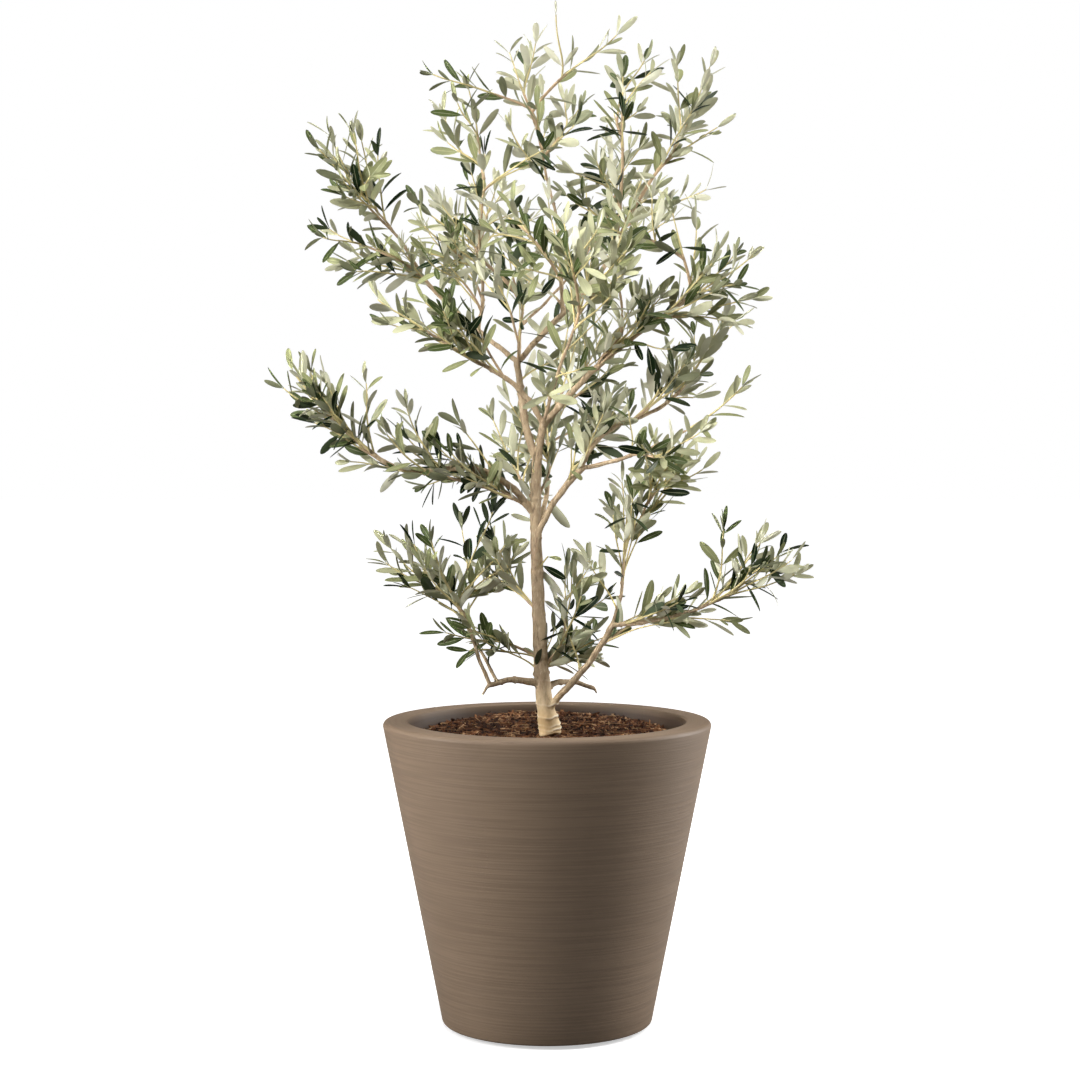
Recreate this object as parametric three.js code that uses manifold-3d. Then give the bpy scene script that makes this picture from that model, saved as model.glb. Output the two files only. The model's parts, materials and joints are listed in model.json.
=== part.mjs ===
// A young olive tree in a tapered planter: pot, potting soil, trunk, stems, boughs and
// closed masses of leaves. Millimetres, +Z up, origin at the centre of the pot's underside.
import * as THREE from 'three';
import { mergeVertices } from 'three/addons/utils/BufferGeometryUtils.js';
import Module from 'manifold-3d';

// ---- driving dimensions ----------------------------------------------------------------
const GAP = 0.3;                 // clearance between neighbouring solids

const POT_HEIGHT = 467;
const POT_RIM_RADIUS = 250;      // outside, at the top
const POT_BASE_RADIUS = 161;     // outside, just above the foot
const POT_MOUTH_RADIUS = 211.5;  // inside, at the top
const POT_FLOOR = 30;            // top of the pot's floor
const POT_FLOOR_RADIUS = 138;    // inside, at the floor
const POT_FOOT_RADIUS = 140;     // the set-back foot the pot stands on
const POT_FOOT_HEIGHT = 5;
const RIM_ROUND = 11;            // rounding of the rim's outer edge
const LIP_ROUND = 4;             // rounding of the rim's inner edge
const BASE_ROUND = 5;            // rounding at the bottom of the body
const POT_SIDES = 32;

const SOIL_TOP = 440;            // level of the soil at the trunk
const SOIL_FALL = 5;             // how much lower the soil lies at the wall
const SOIL_FLAT = 30;            // radius of the level middle

const TRUNK_FOOT = [5.7, 0];     // where the trunk stands on the soil
const TRUNK_FLARE = 5.5;         // extra radius of the root flare
const FLARE_HEIGHT = 40;         // height over which the flare dies away
const COLLAR = 1.2;              // extra radius where a bough leaves its parent
const COLLAR_LENGTH = 12;
const PATH_STEPS = 12;           // steps in which a limb's course is laid out
const RING_SPACING = 36;         // distance between a limb's rings
const LIMB_SIDES = 6;
const TRUNK_SIDES = 12;

const MASS_DETAIL = 2;           // fineness of a leaf mass
const SMALL_MASS = 122;          // a mass with no core half size over this is one step coarser
const MASS_UNEVEN = 0.1;         // how far its surface swells and sinks
const SHOOT_SPREAD = 0.42;       // half width of the lobe round a leading shoot, radians
const MASS_GAP = 1;              // clearance cut round each mass

// The trunk and each limb grow from a place on their parent, given as a fraction of its
// length, and turn steadily through their headings: [compass angle from +X, rise], degrees.
// name, parent, place, length, radius at foot, radius at tip, headings
const LIMBS = [
  ['trunk', null, 0, 425, 12, 7.5, [[176, 79], [135, 87], [140, 87], [131, 94]]],
  ['stem_left', 'trunk', 1, 157, 6.6, 5.3, [[168, 64], [146, 83], [151, 80]]],
  ['stem_right', 'trunk', 0.985, 63, 6.8, 6.2, [[-60, 70], [-60, 72]]],
  ['bough_crown_left', 'stem_left', 0.98, 237, 4.8, 3, [[128, 27], [134, 30], [161, 44]]],
  ['bough_crown_right', 'stem_left', 0.96, 248, 5.3, 3.6, [[-28, 47], [-8, 42], [51, 58]]],
  ['bough_cross_left', 'stem_right', 1, 242, 4.7, 2.8, [[-146, 63], [-158, 24], [-155, 32]]],
  ['bough_cross_right', 'stem_right', 0.95, 315, 5.4, 3, [[-10, 53], [-18, 37], [-17, 31]]],
  ['bough_middle_right', 'trunk', 0.6, 188, 6.4, 5, [[-116, 63], [-21, 61], [-2, 43]]],
  ['bough_middle_right_upper', 'bough_middle_right', 0.97, 258, 4.4, 2.7,
    [[58, 61], [19, 13], [27, 59]]],
  ['bough_middle_right_lower', 'bough_middle_right', 0.99, 179, 3.6, 2.4,
    [[-26, 9], [-18, 29]]],
  ['bough_left', 'trunk', 0.79, 282, 6.6, 4, [[-149, 63], [-159, 27], [-165, -15], [-163, 36]]],
  ['bough_left_end', 'bough_left', 0.99, 123, 3.8, 2.6, [[-169, 37], [-173, 46]]],
  ['bough_low_left', 'trunk', 0.2, 90, 5.6, 4.8, [[-161, 12], [-157, 6], [-151, -16]]],
  ['bough_low_left_rise', 'bough_low_left', 0.97, 177, 3.6, 2.5,
    [[-168, 63], [-153, 77], [-172, 22]]],
  ['bough_low_left_inner', 'bough_low_left', 0.83, 203, 3.2, 2.2,
    [[116, 40], [162, 56], [23, 57]]],
  ['bough_low_back', 'trunk', 0.185, 109, 5.2, 3.8, [[56, 14], [26, -20]]],
  ['bough_low_right', 'trunk', 0.115, 175, 6.4, 4.6, [[-34, 39], [-20, 49], [-24, 64]]],
  ['bough_low_right_reach', 'bough_low_right', 0.99, 193, 4, 2.5, [[-19, 3], [-17, 28]]],
  ['bough_low_right_rise', 'bough_low_right', 0.98, 202, 3.5, 2.3,
    [[54, 48], [95, 76], [14, 34]]],
  ['bough_back', 'stem_left', 0.45, 235, 4.5, 2.8, [[100, 42], [80, 50]]],
  ['bough_middle_back', 'trunk', 0.74, 208, 4.8, 2.8, [[70, 38], [100, 48]]],
  ['bough_front', 'stem_right', 0.9, 212, 4, 2.5, [[-80, 40], [-60, 50]]],
  ['bough_far_left', 'bough_crown_left', 1, 150, 3, 2.2, [[-150, 60], [-133, 35]]],
  ['bough_leader', 'bough_crown_left', 0.45, 188, 3.2, 2.4, [[16, 73], [-115, 68], [-66, 61]]],
  ['bough_top_middle', 'bough_crown_right', 0.42, 213, 3.6, 2.5,
    [[100, 83], [106, 78], [146, 68]]],
  ['bough_back_right', 'bough_back', 0.85, 150, 3, 2.2, [[40, 34], [10, 52]]],
];

// Each mass of leaves lies off the end of the bough that feeds it, by [compass angle, rise,
// distance]. Its core has a half size along X, Y and Z, and it reaches out along its
// leading shoots, each [compass angle, rise, length] from the middle of the mass.
// name, bough, offset, core, leading shoots
const MASSES = [
  ['leaves_lone_leader', 'bough_crown_left', [-62, 55, 235], [26, 30, 84],
    [[163, 77, 149], [-154, 65, 161], [0, 83, 140], [-153, 24, 71], [30, 28, 67], [18, -74, 117]]],
  ['leaves_top_middle', 'bough_crown_right', [166, 58, 215], [62, 90, 88],
    [[180, 79, 156], [164, 62, 161], [-155, 47, 142], [-51, 77, 120], [38, 45, 90]]],
  ['leaves_top_right', 'bough_crown_right', [-76, 82, 168], [52, 100, 98],
    [[136, 85, 181], [31, 70, 174], [-137, 71, 136], [-136, 29, 83], [131, -44, 93]]],
  ['leaves_top_outer', 'bough_crown_right', [9, 59, 214], [46, 90, 58],
    [[180, 76, 124], [-97, 76, 125], [12, 67, 127], [56, 37, 91], [-23, -25, 86], [-141, -58, 110]]],
  ['leaves_far_left_top', 'bough_crown_left', [-140, 47, 205], [54, 82, 44],
    [[170, 60, 118], [-154, 33, 109], [-72, 79, 110], [56, 63, 105], [-15, 31, 93]]],
  ['leaves_far_left', 'bough_crown_left', [-139, 27, 101], [72, 112, 44],
    [[180, 24, 125], [-151, 13, 107], [161, -22, 97], [-151, -47, 90]]],
  ['leaves_crown_left', 'bough_crown_left', [-71, 28, 107], [64, 134, 62],
    [[-153, 55, 112], [113, 68, 115], [95, 55, 122]]],
  ['leaves_under_left', 'bough_cross_left', [19, 39, 41], [84, 104, 46],
    [[180, 0, 78], [-166, -60, 83], [-53, -38, 80], [-145, 24, 77]]],
  ['leaves_crown_middle', 'bough_crown_right', [-167, -8, 145], [84, 134, 76],
    [[-146, 71, 111], [-154, -39, 117], [-127, -84, 118], [37, 60, 130]]],
  ['leaves_crown_right', 'bough_crown_right', [-53, 29, 61], [84, 134, 56],
    [[5, 20, 127], [-4, 4, 145], [20, 24, 157], [-154, -54, 116]]],
  ['leaves_right_end', 'bough_cross_right', [3, 39, 31], [48, 100, 52],
    [[5, 41, 72], [48, 47, 90], [-19, -21, 84], [10, -30, 101], [-7, -68, 112], [133, 76, 82]]],
  ['leaves_right_inner', 'bough_cross_right', [168, -11, 79], [56, 110, 42],
    [[-155, -22, 77], [0, -34, 75], [-106, -52, 84]]],
  ['leaves_heart', 'bough_crown_right', [150, -65, 176], [72, 112, 52],
    [[-137, 67, 76], [170, -31, 71], [23, -24, 85]]],
  ['leaves_middle_right', 'bough_middle_right_upper', [151, 20, 25], [50, 100, 42],
    [[0, 24, 71], [-10, -34, 71], [60, -64, 80], [-6, 42, 119]]],
  ['leaves_middle_inner', 'bough_middle_right_upper', [-168, -25, 161], [64, 110, 44],
    [[-171, 24, 70], [26, 34, 81], [-144, -38, 65]]],
  ['leaves_lower_right', 'bough_middle_right_lower', [-179, -45, 56], [58, 98, 38],
    [[-4, 14, 74], [-26, -21, 61], [29, -47, 75], [154, 56, 62]]],
  ['leaves_right_rise', 'bough_low_right_rise', [-162, 33, 37], [50, 90, 42],
    [[171, -31, 75], [-34, -75, 71], [18, -31, 76], [137, 50, 69]]],
  ['leaves_low_middle', 'bough_low_right_rise', [-175, -49, 165], [62, 104, 60],
    [[153, 57, 82], [-134, -82, 107], [-24, -53, 120], [155, -34, 85], [67, 56, 98]]],
  ['leaves_low_right', 'bough_low_right_reach', [164, -8, 82], [54, 80, 28],
    [[180, -78, 73], [149, 44, 54], [-44, 36, 53], [149, -6, 78]]],
  ['leaves_low_right_end', 'bough_low_right_reach', [-11, 50, 58], [48, 84, 38],
    [[173, 46, 110], [131, 67, 103], [-72, 73, 72], [8, 29, 79], [0, -13, 97], [-21, -33, 98],
      [180, -64, 133], [111, -60, 107]]],
  ['leaves_low_left', 'bough_low_left_rise', [-159, 76, 33], [54, 92, 44],
    [[177, 4, 106], [-165, 21, 103], [165, 46, 85], [-37, 71, 78], [-175, -49, 83]]],
  ['leaves_low_left_inner', 'bough_low_left_inner', [6, 20, 49], [58, 84, 46],
    [[157, 79, 64], [-40, 51, 62], [26, -30, 65], [145, -34, 74]]],
  ['leaves_low_left_drop', 'bough_low_left_rise', [7, -44, 77], [50, 76, 32],
    [[-175, -43, 75], [123, -86, 81], [-169, -13, 81], [30, -46, 72]]],
  ['leaves_left_inner', 'bough_left', [11, 5, 109], [50, 84, 38],
    [[24, 73, 82], [-112, 72, 70], [180, -75, 71], [19, -45, 88], [-37, -55, 87]]],
  ['leaves_left', 'bough_left', [-15, 57, 36], [54, 92, 42],
    [[171, 75, 121], [-154, 64, 131], [17, 56, 90], [15, -77, 88], [-177, -33, 109]]],
  ['leaves_left_end', 'bough_left_end', [-39, 55, 11], [46, 76, 30],
    [[-179, 16, 98], [171, 50, 81], [-163, -5, 74], [-169, -82, 76], [41, 49, 64]]],
  ['leaves_back_left', 'bough_back', [135, 61, 155], [100, 86, 80],
    [[152, 39, 95], [17, 81, 106], [43, -46, 95]]],
  ['leaves_back_right', 'bough_back', [17, 51, 236], [94, 86, 86],
    [[20, 69, 121], [18, 10, 113], [121, -50, 118]]],
  ['leaves_middle_back', 'bough_middle_back', [30, 48, 109], [84, 76, 64],
    [[13, 32, 107], [172, -29, 83], [58, -62, 100]]],
  ['leaves_front', 'bough_front', [-69, 52, 105], [88, 74, 66],
    [[-12, 34, 87], [-173, 59, 83], [-159, -37, 86], [-40, -56, 97]]],
  ['leaves_stem', 'stem_left', [68, -67, 117], [64, 66, 92],
    [[170, 20, 100], [-10, -30, 96], [150, -50, 104], [60, 10, 84]]],
  ['leaves_low_back', 'bough_low_back', [-139, 56, 83], [54, 70, 48],
    [[150, 40, 80], [-20, -28, 70], [20, 30, 78], [-160, -40, 66]]],
];

// ---- solids ----------------------------------------------------------------------------
const wasm = await Module();
wasm.setup();

function closed(geometry) {
  geometry.deleteAttribute('normal');
  geometry.deleteAttribute('uv');
  return mergeVertices(geometry);
}

function toSolid(geometry) {
  return new wasm.Manifold(new wasm.Mesh({
    numProp: 3,
    vertProperties: new Float32Array(geometry.attributes.position.array),
    triVerts: new Uint32Array(geometry.index.array),
  }));
}

function toGeometry(solid) {
  const mesh = solid.getMesh();
  const geometry = new THREE.BufferGeometry();
  geometry.setAttribute('position', new THREE.BufferAttribute(mesh.vertProperties, 3));
  geometry.setIndex(new THREE.BufferAttribute(mesh.triVerts, 1));
  return geometry;
}

function boxesMeet(a, b) {
  const p = a.boundingBox();
  const q = b.boundingBox();
  return [0, 1, 2].every((i) => p.min[i] < q.max[i] && q.min[i] < p.max[i]);
}

// Cuts a solid by each cutter that it meets, and keeps the largest body that is left.
function cutBy(solid, cutters) {
  const cut = cutters.filter((c) => boxesMeet(solid, c)).reduce((s, c) => s.subtract(c), solid);
  const bodies = cut.decompose();
  return bodies.reduce((a, b) => (b.volume() > a.volume() ? b : a));
}

function heading([compass, rise]) {
  const a = THREE.MathUtils.degToRad(compass);
  const e = THREE.MathUtils.degToRad(rise);
  return new THREE.Vector3(Math.cos(e) * Math.cos(a), Math.cos(e) * Math.sin(a), Math.sin(e));
}

// ---- pot and soil ----------------------------------------------------------------------
function arc(cx, cz, radius, from, to, steps = 4) {
  return Array.from({ length: steps + 1 }, (_, i) => {
    const a = THREE.MathUtils.degToRad(from + ((to - from) * i) / steps);
    return new THREE.Vector2(cx + radius * Math.cos(a), cz + radius * Math.sin(a));
  });
}

function turned(profile, sides) {
  const lathe = new THREE.LatheGeometry(profile, sides);
  lathe.rotateX(Math.PI / 2);
  return closed(lathe);
}

function insideRadius(z) {
  const up = (z - POT_FLOOR) / (POT_HEIGHT - POT_FLOOR);
  return THREE.MathUtils.lerp(POT_FLOOR_RADIUS, POT_MOUTH_RADIUS, up);
}

function potGeometry() {
  const bodyBottom = POT_FOOT_HEIGHT;
  return turned([
    new THREE.Vector2(0, 0),
    new THREE.Vector2(POT_FOOT_RADIUS, 0),
    new THREE.Vector2(POT_FOOT_RADIUS, bodyBottom),
    ...arc(POT_BASE_RADIUS - BASE_ROUND, bodyBottom + BASE_ROUND, BASE_ROUND, -90, -10, 2),
    ...arc(POT_RIM_RADIUS - RIM_ROUND, POT_HEIGHT - RIM_ROUND, RIM_ROUND, -10, 90, 3),
    ...arc(POT_MOUTH_RADIUS + LIP_ROUND, POT_HEIGHT - LIP_ROUND, LIP_ROUND, 90, 180, 2),
    new THREE.Vector2(POT_FLOOR_RADIUS, POT_FLOOR),
    new THREE.Vector2(0, POT_FLOOR),
  ], POT_SIDES);
}

function soilGeometry() {
  const bottom = POT_FLOOR + GAP;
  const edge = SOIL_TOP - SOIL_FALL;
  const sag = 3;                     // keeps the facets of the wall clear of the soil
  return turned([
    new THREE.Vector2(0, bottom),
    new THREE.Vector2(insideRadius(bottom) - sag, bottom),
    new THREE.Vector2(insideRadius(edge) - sag, edge),
    new THREE.Vector2(SOIL_FLAT, SOIL_TOP),
    new THREE.Vector2(0, SOIL_TOP),
  ], POT_SIDES);
}

// ---- trunk and boughs ------------------------------------------------------------------
function limbCourse(start, length, headings) {
  const points = [start.clone()];
  const legs = headings.length - 1;
  for (let i = 0; i < PATH_STEPS; i += 1) {
    const t = ((i + 0.5) / PATH_STEPS) * legs;
    const leg = Math.min(Math.floor(t), legs - 1);
    const way = heading(headings[leg]).lerp(heading(headings[leg + 1]), t - leg).normalize();
    points.push(points[i].clone().addScaledVector(way, length / PATH_STEPS));
  }
  return new THREE.CatmullRomCurve3(points);
}

function limbRadius(limb, t) {
  const along = t * limb.length;
  const flare = limb.parent ? COLLAR * Math.exp(-along / COLLAR_LENGTH)
    : TRUNK_FLARE * Math.exp(-along / FLARE_HEIGHT);
  return THREE.MathUtils.lerp(limb.foot, limb.tip, t) + flare;
}

// A tapering tube of the limb's own course. "clearance" makes it fatter and longer, which
// gives the cutter for what leans on it.
function limbGeometry(limb, clearance = 0) {
  const rings = Math.max(3, Math.round(limb.length / RING_SPACING));
  const sides = limb.parent ? LIMB_SIDES : TRUNK_SIDES;
  const tube = closed(new THREE.CylinderGeometry(1, 1, 1, sides, rings));
  const position = tube.attributes.position;
  const frames = [];
  let across = new THREE.Vector3(0, 1, 0);
  for (let i = 0; i <= rings; i += 1) {
    const along = limb.course.getTangent(i / rings);
    across = across.clone().addScaledVector(along, -across.dot(along)).normalize();
    const centre = limb.course.getPoint(i / rings);
    if (i === rings) centre.addScaledVector(along, clearance);
    frames.push({ centre, across, beside: new THREE.Vector3().crossVectors(across, along) });
  }
  for (let v = 0; v < position.count; v += 1) {
    const ring = Math.round((position.getY(v) + 0.5) * rings);
    const radius = limbRadius(limb, ring / rings) + clearance;
    const { centre, across: a, beside: b } = frames[ring];
    const p = centre.clone().addScaledVector(a, position.getX(v) * radius)
      .addScaledVector(b, position.getZ(v) * radius);
    position.setXYZ(v, p.x, p.y, p.z);
  }
  return tube;
}

function groundCutter() {
  const size = 120;
  const block = new THREE.BoxGeometry(size, size, size);
  block.translate(...TRUNK_FOOT, SOIL_TOP + GAP - size / 2);
  return toSolid(closed(block));
}

function growLimbs() {
  const limbs = {};
  const cutters = [groundCutter()];
  const buried = 6;                  // the trunk is laid out from below its flat cut
  for (const [name, parent, place, length, foot, tip, headings] of LIMBS) {
    const start = parent ? limbs[parent].course.getPoint(place)
      : new THREE.Vector3(...TRUNK_FOOT, SOIL_TOP - buried);
    const span = parent ? length : length + buried;
    const limb = { name, parent, length: span, foot, tip, course: limbCourse(start, span, headings) };
    limb.solid = cutBy(toSolid(limbGeometry(limb)), cutters);
    cutters.push(toSolid(limbGeometry(limb, GAP)));
    limbs[name] = limb;
  }
  return { limbs, cutters };
}

// ---- masses of leaves ------------------------------------------------------------------
// A closed form round the middle of the mass: an ellipsoid with a wavy surface, drawn out
// to a lobe along each leading shoot, whose end is the furthest point of that lobe.
function massGeometry(mass, clearance = 0) {
  const detail = Math.max(...mass.core) > SMALL_MASS ? MASS_DETAIL : MASS_DETAIL - 1;
  const ball = closed(new THREE.IcosahedronGeometry(1, detail));
  const position = ball.attributes.position;
  const leads = mass.shoots.map((s) => ({ way: heading(s), length: s[2], vertex: -1, near: -1 }));
  const taken = new Set();
  const way = new THREE.Vector3();
  for (const lead of leads) {
    for (let v = 0; v < position.count; v += 1) {
      const near = way.fromBufferAttribute(position, v).normalize().dot(lead.way);
      if (near > lead.near && !taken.has(v)) {
        lead.near = near;
        lead.vertex = v;
      }
    }
    taken.add(lead.vertex);
  }
  for (let v = 0; v < position.count; v += 1) {
    way.fromBufferAttribute(position, v).normalize();
    const core = 1 / Math.hypot(way.x / mass.core[0], way.y / mass.core[1], way.z / mass.core[2]);
    const wave = Math.sin(5 * way.x + mass.seed) + Math.sin(6 * way.y - 2 * mass.seed)
      + Math.sin(7 * way.z + 3 * mass.seed);
    let reach = core * (1 + (MASS_UNEVEN * wave) / 1.5);
    for (const lead of leads) {
      const lobe = Math.exp(-((way.angleTo(lead.way) / SHOOT_SPREAD) ** 2));
      reach = Math.max(reach, THREE.MathUtils.lerp(reach, lead.length, lobe));
    }
    const tip = leads.find((lead) => lead.vertex === v);
    if (tip) {
      way.copy(tip.way);
      reach = tip.length;
    }
    way.multiplyScalar(reach + clearance).add(mass.middle);
    position.setXYZ(v, way.x, way.y, way.z);
  }
  return ball;
}

function growMasses(limbs, limbCutters) {
  const cutters = [...limbCutters];
  return MASSES.map(([name, bough, offset, core, shoots], i) => {
    const middle = limbs[bough].course.getPoint(1).addScaledVector(heading(offset), offset[2]);
    const mass = { name, core, shoots, middle, seed: i };
    mass.solid = cutBy(toSolid(massGeometry(mass)), cutters);
    cutters.push(toSolid(massGeometry(mass, MASS_GAP)));
    return mass;
  });
}

// ---- the assembly ----------------------------------------------------------------------
const POT_COLOUR = 0x7d7064;
const SOIL_COLOUR = 0x3b2a20;
const BARK_COLOUR = 0x8f8271;
const LEAF_COLOUR = 0x8c9a7a;

const group = new THREE.Group();

function addPart(name, geometry, colour, roughness) {
  const material = new THREE.MeshStandardMaterial({ color: colour, roughness, metalness: 0 });
  const mesh = new THREE.Mesh(geometry, material);
  mesh.name = name;
  group.add(mesh);
}

const { limbs, cutters } = growLimbs();
addPart('pot', potGeometry(), POT_COLOUR, 0.6);
addPart('soil', soilGeometry(), SOIL_COLOUR, 0.95);
for (const limb of Object.values(limbs)) {
  addPart(limb.name, toGeometry(limb.solid), BARK_COLOUR, 0.85);
}
for (const mass of growMasses(limbs, cutters)) {
  addPart(mass.name, toGeometry(mass.solid), LEAF_COLOUR, 0.6);
}

export default group;
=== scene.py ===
"""A young olive tree in a tapered planter: bark, twigs, leaves, pot and compost."""

import json
import math

import bmesh
import bpy
import numpy as np
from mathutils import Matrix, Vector, noise
from mathutils.bvhtree import BVHTree
from numpy.linalg import norm

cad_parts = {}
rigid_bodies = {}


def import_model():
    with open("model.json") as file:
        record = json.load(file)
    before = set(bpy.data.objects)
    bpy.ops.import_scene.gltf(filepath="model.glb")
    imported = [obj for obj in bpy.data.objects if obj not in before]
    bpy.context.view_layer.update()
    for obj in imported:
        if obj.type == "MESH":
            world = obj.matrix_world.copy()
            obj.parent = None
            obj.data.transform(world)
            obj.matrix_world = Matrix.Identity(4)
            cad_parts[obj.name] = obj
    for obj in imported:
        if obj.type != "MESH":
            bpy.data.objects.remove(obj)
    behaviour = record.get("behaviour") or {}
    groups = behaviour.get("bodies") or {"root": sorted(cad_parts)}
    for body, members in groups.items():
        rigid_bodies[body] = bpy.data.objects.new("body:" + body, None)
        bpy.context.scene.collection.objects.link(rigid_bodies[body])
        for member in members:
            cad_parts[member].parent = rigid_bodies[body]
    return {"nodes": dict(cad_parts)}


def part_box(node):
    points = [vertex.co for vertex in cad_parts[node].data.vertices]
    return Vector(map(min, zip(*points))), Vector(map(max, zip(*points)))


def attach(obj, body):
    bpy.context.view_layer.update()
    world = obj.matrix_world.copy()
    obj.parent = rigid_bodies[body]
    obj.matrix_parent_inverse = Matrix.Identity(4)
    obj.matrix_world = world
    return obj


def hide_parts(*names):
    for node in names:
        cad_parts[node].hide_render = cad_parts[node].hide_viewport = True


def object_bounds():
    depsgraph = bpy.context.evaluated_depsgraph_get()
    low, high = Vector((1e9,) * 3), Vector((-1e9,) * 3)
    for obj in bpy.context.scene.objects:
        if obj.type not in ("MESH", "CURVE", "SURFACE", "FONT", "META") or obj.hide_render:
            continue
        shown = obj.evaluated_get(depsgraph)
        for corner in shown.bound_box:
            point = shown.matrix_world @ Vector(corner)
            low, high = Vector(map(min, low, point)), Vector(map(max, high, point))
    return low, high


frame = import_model()
cad_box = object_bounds()

MM = 0.001
UP = np.array([0.0, 0.0, 1.0])
ROUND = 6.28                    # radians: angles are dealt from the whole turn
rng = np.random.default_rng(1207)

# ---- sizes ----
# Trunk and boughs
LIMB_STEP = 3 * MM
LIMB_FULLNESS = 1.05            # a faceted limb holds a little less than the round one
BARK_STEP = 2.4 * MM
BARK_VOXEL = 1.45 * MM
BOUGH_NODES = 27 * MM           # between two old leaf nodes
TRUNK_NODES = 60 * MM
KNOT_CHANCE = 0.72
# Dead stubs: how long each is, and its lean to the right
STUB_BOUGHS = {"bough_low_left": (17 * MM, -0.2), "bough_low_back": (9 * MM, 0.1)}
FOOT_REACH = 40 * MM            # round the trunk's middle
FOOT_PALE_HEIGHT = 52 * MM
RING_SCARS = ((8, 1.5), (14, 1.1), (27, 1.6), (46, 1.5), (84, 0.7))    # mm up, mm proud

# Growth
BARE_TRUNK = 90 * MM            # no shoot leaves the trunk below this
BASAL_SHARE = 0.6               # shoots branch mostly in this first part
LONG_REACH = 160 * MM           # a new shoot is seldom longer
EASY_RISE = 0.4                 # and seldom less steep, as the sine of its slope
LEADER_SHORTEST = 110 * MM
FILL_SHORTEST = 62 * MM
FILL_ROOM = 41.5 * MM           # an empty ball this big gets a shoot
FILL_DEPTH = 5 * MM
FILL_TRIES = 160
SPROUT_ROOM = 50 * MM
TIP_INSET = 40 * MM             # a shoot stops this far short of the edge its leaves reach
MOST_TIPS = 9
SHOOT_STEP = 6 * MM
SHOOT_TIP_RADIUS = 0.95 * MM
SHOOT_TAPER = 0.0068
WOODY_RADIUS = 1.7 * MM
LEAFY_RADIUS = 2.4 * MM         # thicker wood bears no leaves

# Leaves
LEAF_LENGTH = 47 * MM
LEAF_SLENDERNESS = 4.15         # length over width
LEAF_THICKNESS = 0.45 * MM
NODE_SPACING = 22 * MM          # between two pairs of leaves
LEAF_SPARE = 9 * MM             # no leaf reaches further than this past the solids' box
LEAF_STRAY = 15 * MM            # and its middle keeps this close to a leaf mass
LEAF_STATIONS = np.array([0.0, 0.07, 0.17, 0.34, 0.56, 0.76, 0.9, 0.97])
LEAF_HALF_WIDTHS = np.array([0.055, 0.075, 0.25, 0.43, 0.5, 0.46, 0.32, 0.17])
LEAF_RING = np.array([-1.0, -0.07, 0.07, 1.0, 0.0])      # edge, rib, rib, edge, underside
TONES = ("silver", "sage", "green", "dark")
TONE_SHARES = (0.28, 0.32, 0.25, 0.15)
LEAF_UPPER = {"silver": (0.36, 0.36, 0.212), "sage": (0.215, 0.227, 0.103),
              "green": (0.054, 0.074, 0.021), "dark": (0.006, 0.015, 0.004)}
LEAF_UNDER = {"silver": (0.57, 0.56, 0.42), "sage": (0.45, 0.445, 0.3),
              "green": (0.24, 0.25, 0.145), "dark": (0.035, 0.052, 0.02)}
LEAF_SHINE = {"silver": 0.3, "sage": 0.16, "green": 0.12, "dark": 0.09}
PALE_RIB = (0.46, 0.46, 0.27)

# Planter
MOUTH_RADIUS = 211.5 * MM
BASE_RADIUS = 161 * MM
FOOT_RADIUS = 140 * MM
FOOT_HEIGHT = 5 * MM
RIM_ROUND = 7 * MM
LIP_ROUND = 3 * MM
BASE_ROUND = 5 * MM
WALL_LEAN = -11                 # degrees, the way the wall faces
WALL_STEPS = 24
INNER_TAPER = 0.168             # loss of inner radius over depth
BED_DEPTH = 40 * MM             # the hollow goes on this far under the soil's top
# Heights over which the painted shade on the planter's inner wall sets in
INNER_SHADE_LEVELS = (390 * MM, 395 * MM)
# Heights over which the painted highlight on the planter's rim sets in
RIM_HIGHLIGHT_LEVELS = (466 * MM, 469.6 * MM)

# Compost
COMPOST_RADIUS = 204.2 * MM
SKIRT_DEPTH = 30 * MM
TRUNK_CLEAR = 17 * MM
CHIP_COUNT = 8200
CHIP_TONES = (("dark", (0.035, 0.015, 0.008)), ("brown", (0.105, 0.043, 0.02)),
              ("russet", (0.22, 0.098, 0.042)), ("tan", (0.42, 0.25, 0.13)))
CHIP_SHARES = (0.38, 0.34, 0.2, 0.08)
CHIP_CORNERS = np.array([[x, y, z] for z in (-1, 1) for y in (-1, 1) for x in (-1, 1)], float)
CHIP_FACES = [(0, 2, 3, 1), (4, 5, 7, 6), (0, 1, 5, 4), (2, 6, 7, 3), (0, 4, 6, 2), (1, 3, 7, 5)]
FIBRE_COUNT = 700
FIBRE_POINTS = 6

# Studio
WORLD_FILL = 0.07
LEFT_POWER = 90
RIGHT_POWER = 95
TOP_POWER = 135
CROWN_POWER = 3.4
CROWN_SPREAD = math.radians(25)
CAMERA_BACK = 3.5
CAMERA_HEIGHT = 0.896
CAMERA_SIDE = -0.0108
CAMERA_PITCH = math.radians(2.53)
CAMERA_LENS = 76.8


# ---- small helpers ----
def unit(v):
    v = np.asarray(v, float)
    return v / max(float(norm(v)), 1e-12)


def across_of(v):
    """Any direction square to v."""
    other = UP if abs(v[2]) < 0.9 else np.array([1.0, 0.0, 0.0])
    return unit(np.cross(v, other))


def turned_about(v, axis, angle):
    c, s = math.cos(angle), math.sin(angle)
    return v * c + np.cross(axis, v) * s + axis * (axis @ v) * (1 - c)


def any_side(along):
    """A direction dealt from all those square to a shoot."""
    return turned_about(across_of(along), along, rng.uniform(0, ROUND))


def run_along(points):
    """How far along a course each of its points is."""
    return np.concatenate([[0.0], np.cumsum(norm(np.diff(points, axis=0), axis=1))])


def directions(points):
    ways = np.gradient(points, axis=0)
    return ways / np.maximum(norm(ways, axis=1), 1e-12)[:, None]


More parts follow.
